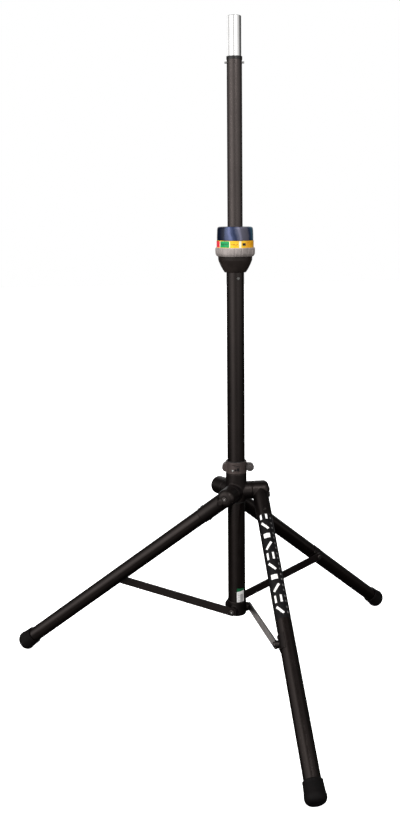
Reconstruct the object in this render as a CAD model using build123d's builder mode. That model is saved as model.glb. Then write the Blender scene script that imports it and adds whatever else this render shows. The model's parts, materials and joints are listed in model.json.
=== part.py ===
from build123d import *
from math import cos, radians, sin
import os

# Speaker tripod stand: a telescoping mast on three folding legs.
# Millimetres, +Z up, origin on the mast's axis at floor level.
# Each leg is drawn once in its own frame, where +X points outward along the leg, and is then
# turned about Z to its place. The legs pass beside the mast, LEG_OFFSET from its axis.

# --- driving dimensions -------------------------------------------------------------------
LEG_AZIMUTHS = (-90, 30, 150)
RING_AZIMUTH = -11          # the side of the mast that the clamp knob stands on

TOP_Z = 1672.5              # top of the speaker adapter
SHOULDER_Z = 1572           # top of the upper tube
CROSS_PIN_Z = 1558.5
LOCK_HOLE_Z = 1462
COLLAR_TOP_Z = 1153
BAND_TOP_Z = 1118.5
GRIP_TOP_Z = 1101
CONE_TOP_Z = 1078.5
CONE_BOTTOM_Z = 1038.5
LEG_PIVOT_Z = 479.4
HUB_PIVOT_Z = 173.6
HUB_TOP_Z = 196
HUB_BOTTOM_Z = 158

ADAPTER_R = 34.93 / 2
ADAPTER_LENGTH = 200
UPPER_R = 38.1 / 2
UPPER_WALL = 2
UPPER_BOTTOM_Z = 585
MAST_R = 44.45 / 2
MAST_WALL = 2.0
MAST_TOP_Z = 1096.5
LEG_R = 37.5 / 2
LEG_WALL = 2.0

LEG_OFFSET = 60.4           # sideways distance from the mast axis to a leg's axis
LEG_ANGLE = 37.8            # below horizontal
LEG_LENGTH = 761            # pivot axis to the end of the foot
BRACE_AT = 417.3            # where the brace meets the leg, measured along the leg
BRACE_DROP = 5.1            # how far under the leg's axis the brace pivot lies
BRACE_OFFSET = 33.5         # sideways distance from the mast axis to the brace's middle
BRACE_THICK = 4
BRACE_HEIGHT = 20.6

RIVET_R = 2.4
SET_SCREW_R = 1.6
RIVET_LIFT = 0.3            # how far a rivet's flat underside stands off a round tube
BUSH_RIVET_Z = 1024
BUSH_RIVET_AZIMUTH = -80

FIT = 0.08                  # radial running clearance
GAP = 0.4                   # clearance between bodies that move past each other

# --- derived ------------------------------------------------------------------------------
ALONG = Vector(cos(radians(LEG_ANGLE)), 0, -sin(radians(LEG_ANGLE)))
UPWARD = Vector(sin(radians(LEG_ANGLE)), 0, cos(radians(LEG_ANGLE)))
LEG_PIVOT = Vector(0, LEG_OFFSET, LEG_PIVOT_Z)
HUB_PIVOT = Vector(0, BRACE_OFFSET, HUB_PIVOT_Z)
BRACE_TIP = LEG_PIVOT + ALONG * BRACE_AT - UPWARD * BRACE_DROP
BRACE_TIP = Vector(BRACE_TIP.X, BRACE_OFFSET, BRACE_TIP.Z)
BRACE_RUN = BRACE_TIP - HUB_PIVOT
BRACE_INNER = BRACE_OFFSET - BRACE_THICK / 2
BRACE_OUTER = BRACE_OFFSET + BRACE_THICK / 2

os.makedirs("parts", exist_ok=True)


def save(shape, name):
    shape.label = name
    export_step(shape, f"parts/{name}.step")


def cross_plane(centre, y):
    """The plane across a leg frame at sideways distance y, normal to +Y."""
    return Plane((centre.X, y, centre.Z), x_dir=(1, 0, 0), z_dir=(0, 1, 0))


def radial_plane(radius, azimuth, z):
    """The plane on a cylinder of this radius about the mast axis, facing outward."""
    outward = Vector(cos(radians(azimuth)), sin(radians(azimuth)), 0)
    return Plane(outward * radius + Vector(0, 0, z), x_dir=(0, 0, 1), z_dir=outward)


def leg_plane(distance):
    """The plane square to the leg's axis, this far from the pivot, facing down the leg."""
    return Plane(LEG_PIVOT + ALONG * distance, x_dir=(0, 1, 0), z_dir=ALONG)


# --- mast: lower tube, hub and the fixed half of the height collar ---------------------------
with BuildPart() as lower_mast_tube:
    with BuildSketch(Plane.XY.offset(HUB_BOTTOM_Z + 15)):
        Circle(MAST_R)
        Circle(MAST_R - MAST_WALL, mode=Mode.SUBTRACT)
    extrude(amount=MAST_TOP_Z - HUB_BOTTOM_Z - 15)
    for turn in (0, 180):
        with BuildSketch(radial_plane(MAST_R - 5, turn + BUSH_RIVET_AZIMUTH, BUSH_RIVET_Z)):
            Circle(RIVET_R)
        extrude(amount=10, mode=Mode.SUBTRACT)
save(lower_mast_tube.part, "lower_mast_tube")

HUB_R = 24.5
LUG_R = 11
HUB_BOLT_R = 4
LUG_FACE = BRACE_INNER - GAP
with BuildPart() as brace_hub:
    with BuildSketch(Plane.XY.offset(HUB_BOTTOM_Z)):
        Circle(HUB_R)
    extrude(amount=HUB_TOP_Z - HUB_BOTTOM_Z)
    for azimuth in LEG_AZIMUTHS:
        sideways = (-sin(radians(azimuth)), cos(radians(azimuth)), 0)
        lug = Plane((0, 0, HUB_PIVOT_Z), x_dir=(0, 0, 1), z_dir=sideways)
        with BuildSketch(lug):
            Circle(LUG_R)
        extrude(amount=LUG_FACE)
    fillet(brace_hub.faces().sort_by(Axis.Z)[0].edges(), radius=4)
    fillet(brace_hub.faces().sort_by(Axis.Z)[-1].edges(), radius=1.5)
    with Locations((0, 0, HUB_TOP_Z)):
        Hole(MAST_R, depth=HUB_TOP_Z - HUB_BOTTOM_Z - 15)
    for azimuth in LEG_AZIMUTHS:
        side = (-sin(radians(azimuth)), cos(radians(azimuth)), 0)
        bolt_hole = Plane(Vector(*side) * MAST_R + Vector(0, 0, HUB_PIVOT_Z), z_dir=side)
        with BuildSketch(bolt_hole):
            Circle(HUB_BOLT_R)
        extrude(amount=LUG_FACE, mode=Mode.SUBTRACT)
save(brace_hub.part, "brace_hub")

# Pivot bolts that carry the braces on the hub's lugs, one solid each.
BOLT_HEAD_R = 6.5
BOLT_HEAD_THICK = 3.4
with BuildPart() as hub_bolt:
    with BuildSketch(cross_plane(HUB_PIVOT, MAST_R + 0.5)):
        Circle(HUB_BOLT_R)
    extrude(amount=BRACE_OUTER + GAP - MAST_R - 0.5)
    with BuildSketch(cross_plane(HUB_PIVOT, BRACE_OUTER + GAP)):
        Circle(BOLT_HEAD_R)
    extrude(amount=BOLT_HEAD_THICK)
    fillet(hub_bolt.faces().sort_by(Axis.Y)[-1].edges(), radius=1.6)
save(Compound([hub_bolt.part.rotate(Axis.Z, azimuth) for azimuth in LEG_AZIMUTHS]), "brace_hub_bolts")

# Rubber bumper in the foot of the mast, which the upper tube lands on when it drops.
with BuildPart() as mast_bumper:
    with BuildSketch(Plane.XY.offset(HUB_BOTTOM_Z + 15)):
        Circle(MAST_R - MAST_WALL)
    extrude(amount=12)
    fillet(mast_bumper.faces().sort_by(Axis.Z)[-1].edges(), radius=3)
save(mast_bumper.part, "mast_bumper")

# Nylon bush in the mouth of the lower tube, with a flange that sits on the tube's end.
BUSH_BOTTOM_Z = BUSH_RIVET_Z - 16
with BuildPart() as guide_bush:
    with BuildSketch(Plane.XZ):
        with BuildLine():
            Polyline(
                (UPPER_R + FIT, BUSH_BOTTOM_Z),
                (MAST_R - MAST_WALL, BUSH_BOTTOM_Z),
                (MAST_R - MAST_WALL, MAST_TOP_Z),
                (24, MAST_TOP_Z),
                (24, MAST_TOP_Z + 3),
                (UPPER_R + FIT, MAST_TOP_Z + 3),
                close=True,
            )
        make_face()
    revolve(axis=Axis.Z)
save(guide_bush.part, "guide_bush")

# Split tapered collet that the twist collar squeezes on the upper tube.
COLLET_TOP = COLLAR_TOP_Z - 13
with BuildPart() as clamp_collet:
    with BuildSketch(Plane.XZ):
        with BuildLine():
            Polyline(
                (UPPER_R + FIT, MAST_TOP_Z + 3),
                (26.5, MAST_TOP_Z + 3),
                (26.5, MAST_TOP_Z + 9),
                (23, COLLET_TOP),
                (UPPER_R + FIT, COLLET_TOP),
                close=True,
            )
        make_face()
    revolve(axis=Axis.Z)
    with BuildSketch(Plane.XY.offset(COLLET_TOP)):
        with PolarLocations(22, 6):
            Rectangle(12, 2)
    extrude(amount=-26, mode=Mode.SUBTRACT)
save(clamp_collet.part, "clamp_collet")

# Fixed cone under the twist collar: a shell with an inner sleeve on the tube.
with BuildPart() as collar_cone:
    with BuildSketch(Plane.XZ):
        with BuildLine():
            ThreePointArc((28, CONE_BOTTOM_Z + 1), (38.5, CONE_TOP_Z - 19), (45.3, CONE_TOP_Z))
            Polyline(
                (28, CONE_BOTTOM_Z + 1),
                (27, CONE_BOTTOM_Z),
                (MAST_R, CONE_BOTTOM_Z),
                (MAST_R, MAST_TOP_Z - 4),
                (28, MAST_TOP_Z - 4),
                (28, CONE_BOTTOM_Z + 8),
                (42, CONE_TOP_Z - 2.5),
                (42, CONE_TOP_Z),
                (45.3, CONE_TOP_Z),
            )
        make_face()
    revolve(axis=Axis.Z)
save(collar_cone.part, "collar_cone")

# A domed rivet: its shank fills the hole in a wall, and its head stands on the surface at z 0.
with BuildPart() as rivet_blank:
    with BuildSketch(Plane.XY.offset(-LEG_WALL)):
        Circle(RIVET_R)
    extrude(amount=LEG_WALL)
    with BuildSketch(Plane.XY.offset(RIVET_LIFT)):
        Circle(RIVET_R * 1.6)
    extrude(amount=0.8, taper=30)
    with BuildSketch(Plane.XY):
        Circle(RIVET_R)
    extrude(amount=RIVET_LIFT)

# Rivets that hold the guide bush in the lower tube.
bush_seats = [radial_plane(MAST_R, turn + BUSH_RIVET_AZIMUTH, BUSH_RIVET_Z) for turn in (0, 180)]
save(Compound([seat.location * rivet_blank.part for seat in bush_seats]), "collar_rivets")

# --- height collar: the half that twists ----------------------------------------------------
CAP_R = 45.8
BORE_R = UPPER_R + GAP
with BuildPart() as top_cap:
    with BuildSketch(Plane.XZ):
        with BuildLine():
            Polyline(
                (BORE_R, COLLAR_TOP_Z),
                (CAP_R, COLLAR_TOP_Z),
                (CAP_R, BAND_TOP_Z),
                (CAP_R - 3, BAND_TOP_Z),
                (CAP_R - 3, COLLAR_TOP_Z - 4),
                (BORE_R, COLLAR_TOP_Z - 4),
                close=True,
            )
        make_face()
    revolve(axis=Axis.Z)
    top_circles = top_cap.edges().filter_by(GeomType.CIRCLE).group_by(Axis.Z)[-1]
    fillet(top_circles.sort_by(SortBy.LENGTH)[-1], radius=6)
save(top_cap.part, "top_cap")

BAND_R = 46.5
with BuildPart() as indicator_band:
    with BuildSketch(Plane.XY.offset(GRIP_TOP_Z)):
        Circle(BAND_R)
        Circle(40, mode=Mode.SUBTRACT)
    extrude(amount=BAND_TOP_Z - GRIP_TOP_Z)
save(indicator_band.part, "indicator_band")

GRIP_R = 48.8
GRIP_RIBS = 40
with BuildPart() as grip_ring:
    with BuildSketch(Plane.XZ):
        with BuildLine():
            Polyline(
                (36, GRIP_TOP_Z),
                (GRIP_R - 1, GRIP_TOP_Z),
                (GRIP_R, GRIP_TOP_Z - 1.5),
                (GRIP_R, GRIP_TOP_Z - 16.5),
                (46, CONE_TOP_Z + GAP),
                (36, CONE_TOP_Z + GAP),
                close=True,
            )
        make_face()
    revolve(axis=Axis.Z)
    with BuildSketch(Plane.XY.offset(GRIP_TOP_Z - 2)):
        with PolarLocations(GRIP_R, GRIP_RIBS):
            Rectangle(2.4, 3)
    extrude(amount=-12)
save(grip_ring.part, "grip_ring")

# Threaded nut inside the collar: it rides on the cone's sleeve and carries the collet's taper.
with BuildPart() as clamp_nut:
    with BuildSketch(Plane.XZ):
        with BuildLine():
            Polyline(
                (28 + GAP, CONE_TOP_Z + 2),
                (36, CONE_TOP_Z + 2),
                (36, GRIP_TOP_Z),
                (40, GRIP_TOP_Z),
                (40, COLLAR_TOP_Z - 4),
                (28 + GAP, COLLAR_TOP_Z - 4),
                close=True,
            )
        make_face()
    revolve(axis=Axis.Z)
save(clamp_nut.part, "clamp_nut")

# --- upper mast: the part that slides up --------------------------------------------------
PIN_R = 2.5
PIN_PROUD = 5.5             # how far each end of the pin stands out of the tube
LOCK_HOLE_R = 3.2
ADAPTER_BOTTOM_Z = TOP_Z - ADAPTER_LENGTH
SPIGOT_R = UPPER_R - UPPER_WALL - FIT
with BuildPart() as upper_mast_tube:
    with BuildSketch(Plane.XY.offset(UPPER_BOTTOM_Z)):
        Circle(UPPER_R)
        Circle(UPPER_R - UPPER_WALL, mode=Mode.SUBTRACT)
    extrude(amount=SHOULDER_Z - UPPER_BOTTOM_Z)
    for hole_z, hole_r in ((CROSS_PIN_Z, PIN_R), (LOCK_HOLE_Z, LOCK_HOLE_R)):
        with BuildSketch(radial_plane(-UPPER_R - 2, RING_AZIMUTH, hole_z)):
            Circle(hole_r)
        extrude(amount=2 * UPPER_R + 4, mode=Mode.SUBTRACT)
save(upper_mast_tube.part, "upper_mast_tube")

# Ferrule over the upper tube's end, with a lip that closes the gap round the adapter.
FERRULE_LENGTH = 6.5
FERRULE_WALL = 0.8
LIP_THICK = 1.5
with BuildPart() as tube_end_ring:
    with BuildSketch(Plane.XZ):
        with BuildLine():
            Polyline(
                (UPPER_R, SHOULDER_Z - FERRULE_LENGTH),
                (UPPER_R + FERRULE_WALL, SHOULDER_Z - FERRULE_LENGTH),
                (UPPER_R + FERRULE_WALL, SHOULDER_Z + LIP_THICK),
                (SPIGOT_R, SHOULDER_Z + LIP_THICK),
                (SPIGOT_R, SHOULDER_Z),
                (UPPER_R, SHOULDER_Z),
                close=True,
            )
        make_face()
    revolve(axis=Axis.Z)
    top_circles = tube_end_ring.edges().filter_by(GeomType.CIRCLE).group_by(Axis.Z)[-1]
    fillet(top_circles.sort_by(SortBy.LENGTH)[-1], radius=0.6)
save(tube_end_ring.part, "tube_end_ring")

# The adapter stands on the ferrule's lip, with a spigot turned down to go inside the tube.
with BuildPart() as pole_adapter:
    with BuildSketch(Plane.XY.offset(ADAPTER_BOTTOM_Z)):
        Circle(SPIGOT_R)
    extrude(amount=ADAPTER_LENGTH)
    with BuildSketch(Plane.XY.offset(SHOULDER_Z + LIP_THICK)):
        Circle(ADAPTER_R)
    extrude(amount=TOP_Z - SHOULDER_Z - LIP_THICK)
    with BuildSketch(Plane.XY.offset(ADAPTER_BOTTOM_Z)):
        Circle(ADAPTER_R - 2)
    extrude(amount=ADAPTER_LENGTH, mode=Mode.SUBTRACT)
    chamfer(pole_adapter.edges().group_by(Axis.Z)[-1].sort_by(SortBy.LENGTH)[-1], length=1)
    with BuildSketch(radial_plane(-ADAPTER_R - 2, RING_AZIMUTH, CROSS_PIN_Z)):
        Circle(PIN_R)
    extrude(amount=2 * ADAPTER_R + 4, mode=Mode.SUBTRACT)
save(pole_adapter.part, "pole_adapter")

with BuildPart() as adapter_cross_pin:
    with BuildSketch(radial_plane(-UPPER_R - PIN_PROUD, RING_AZIMUTH, CROSS_PIN_Z)):
        Circle(PIN_R)
    extrude(amount=2 * (UPPER_R + PIN_PROUD))
    fillet(adapter_cross_pin.edges().filter_by(GeomType.CIRCLE), radius=0.8)
save(adapter_cross_pin.part, "adapter_cross_pin")

# Nylon glide plugged in the lower end of the upper tube.
with BuildPart() as glide_bush:
    with BuildSketch(Plane.XY.offset(UPPER_BOTTOM_Z - 20)):
        Circle(MAST_R - MAST_WALL - FIT)
        Circle(13, mode=Mode.SUBTRACT)
    extrude(amount=20)
    with BuildSketch(Plane.XY.offset(UPPER_BOTTOM_Z)):
        Circle(UPPER_R - UPPER_WALL)
        Circle(13, mode=Mode.SUBTRACT)
    extrude(amount=30)
    chamfer(glide_bush.faces().sort_by(Axis.Z)[0].edges().sort_by(SortBy.LENGTH)[-1], length=1.5)
save(glide_bush.part, "glide_bush")

# --- leg collar: slides on the lower tube and carries the three leg pivots --------------------
SLEEVE_R = 26.5
SLEEVE_BOTTOM_Z = LEG_PIVOT_Z - 24
SLEEVE_TOP_Z = 527.5
LINER_R = 23.5
BARREL_R = 22.8
ARM_FACE = 38
PIVOT_BOLT_R = 5
with BuildPart() as leg_collar_casting:
    with BuildSketch(Plane.XY.offset(SLEEVE_BOTTOM_Z)):
        Circle(SLEEVE_R)
    extrude(amount=SLEEVE_TOP_Z - SLEEVE_BOTTOM_Z)
    for azimuth in LEG_AZIMUTHS:
        side = Vector(-sin(radians(azimuth)), cos(radians(azimuth)), 0)
        with BuildSketch(Plane((0, 0, LEG_PIVOT_Z), z_dir=side)):
            Circle(BARREL_R)
        extrude(amount=ARM_FACE)
    with Locations((0, 0, SLEEVE_TOP_Z)):
        Hole(LINER_R)
    for azimuth in LEG_AZIMUTHS:
        side = Vector(-sin(radians(azimuth)), cos(radians(azimuth)), 0)
        with BuildSketch(Plane(side * LINER_R + Vector(0, 0, LEG_PIVOT_Z), z_dir=side)):
            Circle(PIVOT_BOLT_R)
        extrude(amount=ARM_FACE, mode=Mode.SUBTRACT)
save(leg_collar_casting.part, "leg_collar_casting")

RING_BOTTOM_Z = 528
RING_TOP_Z = 557.5
with BuildPart() as collar_liner:
    with BuildSketch(Plane.XY.offset(SLEEVE_BOTTOM_Z - 1.5)):
        Circle(LINER_R)
    extrude(amount=RING_TOP_Z - SLEEVE_BOTTOM_Z + 3)
    with BuildSketch(Plane.XY.offset(SLEEVE_BOTTOM_Z - 1.5)):
        Circle(SLEEVE_R - 0.8)
    extrude(amount=1.5)
    with BuildSketch(Plane.XY.offset(SLEEVE_BOTTOM_Z - 1.5)):
        Circle(MAST_R + FIT)
    extrude(amount=RING_TOP_Z - SLEEVE_BOTTOM_Z + 3, mode=Mode.SUBTRACT)
save(collar_liner.part, "collar_liner")

# Split ring above the sleeve, with a round lobe on each side: one is plain, the other is
# split into two ears that the knob's screw draws together. Drawn with the ears on +X and the
# knob on -Y, then turned to RING_AZIMUTH.
RING_MIDDLE_Z = (RING_BOTTOM_Z + RING_TOP_Z) / 2
RING_R = 27
RELIEF_DEPTH = 2
LOBE_X = -24.7
LOBE_R = 11
LOBE_FRONT = 14
SCREW_X = 35.2
SCREW_R = 3
EAR_R = 9
EAR_FRONT = 5
EAR_BACK = 8
SPLIT = 3
KNOB_R = 11
KNOB_THICK = 8.6
KNOB_FLUTES = 18
set_screw_seat = radial_plane(RING_R, -107, RING_MIDDLE_Z - 5)
with BuildPart() as clamp_ring:
    with BuildSketch(Plane.XY.offset(RING_BOTTOM_Z)):
        Circle(RING_R)
    extrude(amount=RING_TOP_Z - RING_BOTTOM_Z)
    with BuildSketch(Plane.XZ.offset(-EAR_BACK)):
        with Locations((SCREW_X / 2, RING_MIDDLE_Z)):
            SlotCenterToCenter(SCREW_X, 2 * EAR_R)
    extrude(amount=EAR_BACK + EAR_FRONT)
    with BuildSketch(Plane.XZ.offset(EAR_FRONT)):
        with Locations((SCREW_X, RING_MIDDLE_Z)):
            Circle(KNOB_R + 0.6)
    extrude(amount=KNOB_THICK, mode=Mode.SUBTRACT)
    with BuildSketch(Plane.XZ.offset(-EAR_BACK)):
        with Locations((LOBE_X, RING_MIDDLE_Z)):
            Circle(LOBE_R)
    extrude(amount=EAR_BACK + LOBE_FRONT)
    with BuildSketch(Plane.XY.offset(RING_BOTTOM_Z - 1)):
        Circle(LINER_R)
        with Locations((SCREW_X + 5, 0)):
            Rectangle(40, SPLIT)
    extrude(amount=RING_TOP_Z - RING_BOTTOM_Z + 2, mode=Mode.SUBTRACT)
    with BuildSketch(Plane.XZ.offset(-EAR_BACK - 1)):
        with Locations((SCREW_X, RING_MIDDLE_Z)):
            Circle(SCREW_R + FIT)
    extrude(amount=EAR_BACK + EAR_FRONT + 2, mode=Mode.SUBTRACT)
    with BuildSketch(set_screw_seat):
        Circle(SET_SCREW_R)
    extrude(amount=-3, mode=Mode.SUBTRACT)
    with BuildSketch(radial_plane(RING_R - RELIEF_DEPTH, -70, RING_MIDDLE_Z - 2)):
        Rectangle(16, 2.5)
    extrude(amount=2 * RELIEF_DEPTH, mode=Mode.SUBTRACT)
    with BuildSketch(radial_plane(RING_R - RELIEF_DEPTH, -100, RING_MIDDLE_Z + 7.5)):
        Rectangle(2.5, 9)
    extrude(amount=2 * RELIEF_DEPTH, mode=Mode.SUBTRACT)
save(clamp_ring.part.rotate(Axis.Z, RING_AZIMUTH), "clamp_ring")

with BuildPart() as set_screw:
    with BuildSketch(set_screw_seat.offset(-3)):
        Circle(SET_SCREW_R)
    extrude(amount=3 + RIVET_LIFT)
    with BuildSketch(set_screw_seat.offset(RIVET_LIFT)):
        Circle(SET_SCREW_R + 1)
    extrude(amount=1.3)
    fillet(set_screw.faces().sort_by(Axis.Y)[0].edges(), radius=0.6)
save(set_screw.part.rotate(Axis.Z, RING_AZIMUTH), "ring_set_screw")

with BuildPart() as clamp_hex_nut:
    with BuildSketch(Plane.XZ.offset(-EAR_BACK)):
        with Locations((SCREW_X, RING_MIDDLE_Z)):
            RegularPolygon(5.8, 6)
            Circle(SCREW_R + FIT, mode=Mode.SUBTRACT)
    extrude(amount=-5)
save(clamp_hex_nut.part.rotate(Axis.Z, RING_AZIMUTH), "clamp_hex_nut")

SCREW_TAIL = 7
KNOB_BORE = KNOB_THICK - 3
with BuildPart() as clamp_screw:
    with BuildSketch(Plane.XZ.offset(-EAR_BACK - SCREW_TAIL)):
        with Locations((SCREW_X, RING_MIDDLE_Z)):
            Circle(SCREW_R)
    extrude(amount=EAR_BACK + SCREW_TAIL + EAR_FRONT + GAP + KNOB_BORE)
save(clamp_screw.part.rotate(Axis.Z, RING_AZIMUTH), "clamp_screw")

with BuildPart() as clamp_knob:
    with BuildSketch(Plane.XZ.offset(EAR_FRONT + GAP)):
        with Locations((SCREW_X, RING_MIDDLE_Z)):
            Circle(KNOB_R)
            with PolarLocations(KNOB_R + 0.5, KNOB_FLUTES):
                Circle(1, mode=Mode.SUBTRACT)
    extrude(amount=KNOB_THICK)
    with BuildSketch(Plane.XZ.offset(EAR_FRONT + GAP)):
        with Locations((SCREW_X, RING_MIDDLE_Z)):
            Circle(SCREW_R)
    extrude(amount=KNOB_BORE, mode=Mode.SUBTRACT)
save(clamp_knob.part.rotate(Axis.Z, RING_AZIMUTH), "clamp_knob")

# Pivot bolts of the legs, fixed in the casting's arms.
ELBOW_FACE = ARM_FACE + GAP
ELBOW_END = 83.5
with BuildPart() as pivot_bolt:
    with BuildSketch(cross_plane(LEG_PIVOT, LINER_R + 1)):
        Circle(PIVOT_BOLT_R)
    extrude(amount=ELBOW_END + GAP - LINER_R - 1)
    with BuildSketch(cross_plane(LEG_PIVOT, ELBOW_END + GAP)):
        Circle(BOLT_HEAD_R)
    extrude(amount=2.4)
    fillet(pivot_bolt.faces().sort_by(Axis.Y)[-1].edges(), radius=1.5)
save(Compound([pivot_bolt.part.rotate(Axis.Z, azimuth) for azimuth in LEG_AZIMUTHS]), "leg_pivot_bolts")

# --- one leg, in its own frame ----------------------------------------------------------------
SOCKET_R = LEG_R + 1.4      # outside of the elbow's socket and of the brace's saddle
SOCKET_LENGTH = 88
TUBE_START = 24
SADDLE_LENGTH = 36
SADDLE_RIVET = 13.5         # from the brace's bolt to each of the saddle's rivets


def seat_plane(distance, sideways, up, radius):
    """The plane on a cylinder about the leg's axis, facing (sideways, up) across the leg."""
    outward = Vector(0, sideways, 0) + UPWARD * up
    return Plane(LEG_PIVOT + ALONG * distance + outward * radius, z_dir=outward)


# Two rivets hold the tube in the elbow's socket, and two hold the saddle on the tube.
rivet_seats = [
    seat_plane(SOCKET_LENGTH - 14, 0, 1, SOCKET_R),
    seat_plane(SOCKET_LENGTH - 14, 0, -1, SOCKET_R),
    seat_plane(BRACE_AT - SADDLE_RIVET, -1, 0, SOCKET_R),
    seat_plane(BRACE_AT + SADDLE_RIVET, -1, 0, SOCKET_R),
]

# The elbow's round cheek on its outer side, just below the pivot.
CHEEK_R = 7.6
CHEEK_AT = 15.8
with BuildPart() as elbow:
    with BuildSketch(cross_plane(LEG_PIVOT, ELBOW_FACE)):
        Circle(BARREL_R)
    extrude(amount=ELBOW_END - ELBOW_FACE)
    fillet(elbow.faces().sort_by(Axis.Y)[-1].edges(), radius=13)
    with BuildSketch(leg_plane(0)):
        Circle(SOCKET_R)
    extrude(amount=SOCKET_LENGTH)
    with BuildSketch(cross_plane(LEG_PIVOT + ALONG * CHEEK_AT, LEG_OFFSET)):
        Circle(CHEEK_R)
    extrude(amount=ELBOW_END + 1.1 - LEG_OFFSET)
    fillet(elbow.faces().sort_by(Axis.Y)[-1].edges(), radius=0.9)
    with BuildSketch(leg_plane(TUBE_START)):
        Circle(LEG_R)
    extrude(amount=SOCKET_LENGTH, mode=Mode.SUBTRACT)
    with BuildSketch(cross_plane(LEG_PIVOT, ELBOW_FACE - 1)):
        Circle(PIVOT_BOLT_R + FIT)
    extrude(amount=2 * BARREL_R + 5, mode=Mode.SUBTRACT)
    for seat in rivet_seats:
        with BuildSketch(seat.offset(-9)):
            Circle(RIVET_R)
        extrude(amount=18, mode=Mode.SUBTRACT)

FOOT_LENGTH = 45
FOOT_END = 8
with BuildPart() as leg_tube:
    with BuildSketch(leg_plane(TUBE_START)):
        Circle(LEG_R)
        Circle(LEG_R - LEG_WALL, mode=Mode.SUBTRACT)
    extrude(amount=LEG_LENGTH - FOOT_END - TUBE_START)
    for seat in rivet_seats:
        with BuildSketch(seat.offset(-9)):
            Circle(RIVET_R)
        extrude(amount=18, mode=Mode.SUBTRACT)

# Rubber foot: a flared cap with a rounded end, worn flat where it stands on the floor.
with BuildPart() as foot:
    with BuildSketch(Plane(LEG_PIVOT, x_dir=UPWARD, z_dir=(0, 1, 0))):
        with BuildLine():
            Polyline(
                (10, LEG_LENGTH),
                (0, LEG_LENGTH),
                (0, LEG_LENGTH - FOOT_LENGTH),
                (21.4, LEG_LENGTH - FOOT_LENGTH),
                (22, LEG_LENGTH - FOOT_LENGTH + 1),
                (22.2, LEG_LENGTH - 29),
                (23, LEG_LENGTH - 22),
                (24.2, LEG_LENGTH - 15),
            )
            Bezier((24.2, LEG_LENGTH - 15), (24.4, LEG_LENGTH - 6), (19.5, LEG_LENGTH), (10, LEG_LENGTH))
        make_face()
    revolve(axis=Axis(LEG_PIVOT, ALONG))
    with BuildSketch(leg_plane(LEG_LENGTH - FOOT_LENGTH)):
        Circle(LEG_R)
    extrude(amount=FOOT_LENGTH - FOOT_END, mode=Mode.SUBTRACT)
    with BuildSketch(Plane.XY):
        with Locations((LEG_LENGTH, 0)):
            Rectangle(LEG_LENGTH, 4 * LEG_OFFSET)
    extrude(amount=-FOOT_LENGTH, mode=Mode.SUBTRACT)

# Saddle on the tube's inner side, with the boss that the brace bolts to.
BOSS_R = 9
BOSS_FACE = BRACE_OUTER + GAP
with BuildPart() as bracket:
    with BuildSketch(leg_plane(BRACE_AT - SADDLE_LENGTH / 2)):
        Circle(SOCKET_R)
    extrude(amount=SADDLE_LENGTH)
    split(bisect_by=Plane.XZ.offset(-LEG_OFFSET + 9), keep=Keep.TOP)
    with BuildSketch(cross_plane(BRACE_TIP, BOSS_FACE)):
        Circle(BOSS_R)
    extrude(amount=LEG_OFFSET - BOSS_FACE - 8)
    with BuildSketch(leg_plane(BRACE_AT - SADDLE_LENGTH)):
        Circle(LEG_R)
    extrude(amount=2 * SADDLE_LENGTH, mode=Mode.SUBTRACT)
    for seat in rivet_seats:
        with BuildSketch(seat.offset(-9)):
            Circle(RIVET_R)
        extrude(amount=18, mode=Mode.SUBTRACT)

leg_rivets = Compound([seat.location * rivet_blank.part for seat in rivet_seats])

# --- one brace, in its leg's frame ---------------------------------------------------------
BRACE_BOLT_R = 4
brace_plane = Plane(HUB_PIVOT - Vector(0, BRACE_THICK / 2, 0), x_dir=BRACE_RUN, z_dir=(0, 1, 0))
with BuildPart() as brace:
    with BuildSketch(brace_plane):
        with Locations((BRACE_RUN.length / 2, 0)):
            SlotCenterToCenter(BRACE_RUN.length, BRACE_HEIGHT)
        Circle(HUB_BOLT_R + FIT, mode=Mode.SUBTRACT)
        with Locations((BRACE_RUN.length, 0)):
            Circle(BRACE_BOLT_R, mode=Mode.SUBTRACT)
    extrude(amount=BRACE_THICK)

with BuildPart() as brace_bolt:
    with BuildSketch(cross_plane(BRACE_TIP, BRACE_INNER - BOLT_HEAD_THICK)):
        Circle(BOLT_HEAD_R)
    extrude(amount=BOLT_HEAD_THICK)
    fillet(brace_bolt.faces().sort_by(Axis.Y)[0].edges(), radius=1.6)
    with BuildSketch(cross_plane(BRACE_TIP, BRACE_INNER)):
        Circle(BRACE_BOLT_R)
    extrude(amount=BRACE_THICK)

for number, azimuth in enumerate(LEG_AZIMUTHS, start=1):
    save(elbow.part.rotate(Axis.Z, azimuth), f"leg_elbow_{number}")
    save(leg_tube.part.rotate(Axis.Z, azimuth), f"leg_tube_{number}")
    save(foot.part.rotate(Axis.Z, azimuth), f"leg_foot_{number}")
    save(bracket.part.rotate(Axis.Z, azimuth), f"brace_bracket_{number}")
    save(leg_rivets.rotate(Axis.Z, azimuth), f"leg_rivets_{number}")
    save(brace.part.rotate(Axis.Z, azimuth), f"brace_{number}")
    save(brace_bolt.part.rotate(Axis.Z, azimuth), f"brace_bolt_{number}")
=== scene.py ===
import json
import math

import bmesh
import bpy
from mathutils import Matrix, Vector


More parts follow.
